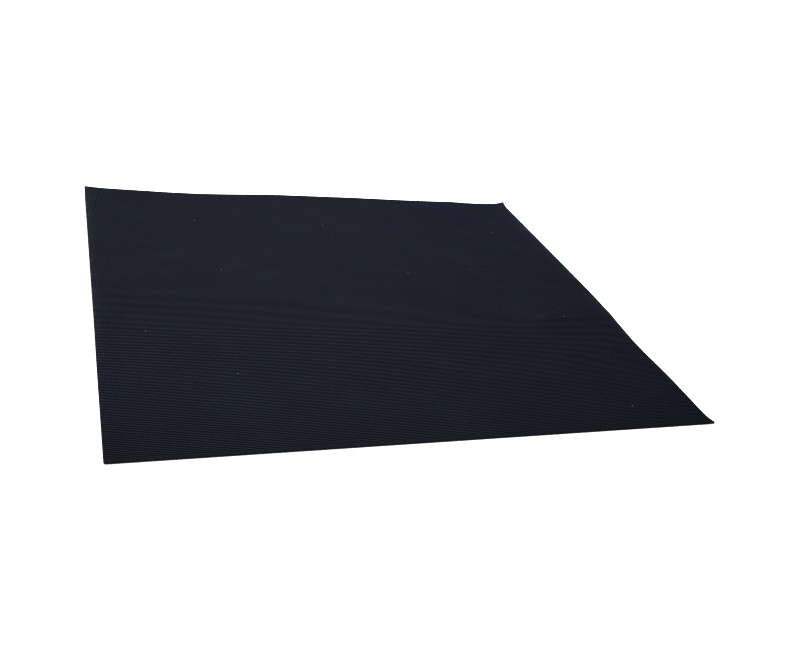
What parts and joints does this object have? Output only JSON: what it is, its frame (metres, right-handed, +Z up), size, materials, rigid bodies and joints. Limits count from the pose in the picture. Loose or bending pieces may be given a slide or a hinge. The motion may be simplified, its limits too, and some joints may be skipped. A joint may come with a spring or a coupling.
{
  "type": "seedling heat mat",
  "caption": "Thin square laminated mat with a fine matt woven surface, a soft crease across it and a low cord inlet underneath, for warming seed trays.",
  "frame": {"origin": "on the bench, under the middle of the mat's outline", "axes": "+X along the near edge to the right, +Y away from the near edge towards the edge with the cord inlet, +Z up out of the heated face"},
  "size_m": [0.508, 0.508, 0.0057],
  "materials": {
    "cover_weave": "matte PVC-coated woven polyester, blue-black",
    "weld": "welded PVC, matt",
    "foil": "satin rolled foil",
    "film": "translucent amber-white polyester film",
    "carbon_ink": "printed carbon ink, dull black",
    "copper": null,
    "terminal_metal": "tinned brass",
    "cutoff_case": "pale moulded case, with tinned legs",
    "housing_rubber": "moulded black rubber",
    "seal_rubber": "soft dark grey gasket rubber"
  },
  "bodies": {
    "root": {"top_cover": "cover_weave", "bottom_cover": "cover_weave", "edge_seal": "weld", "reflector_foil": "foil", "lower_film": "film", "upper_film": "film", "heating_strips": "carbon_ink", "busbar_left": "copper", "busbar_right": "copper", "lead_live": "copper", "lead_neutral": "copper", "terminal_live": "terminal_metal", "terminal_neutral": "terminal_metal", "eyelets": "terminal_metal", "thermal_cutoff": "cutoff_case", "splice_sleeve": "terminal_metal", "inlet_housing": "housing_rubber", "inlet_seal": "seal_rubber", "inlet_bush": "seal_rubber"}
  },
  "joints": []
}
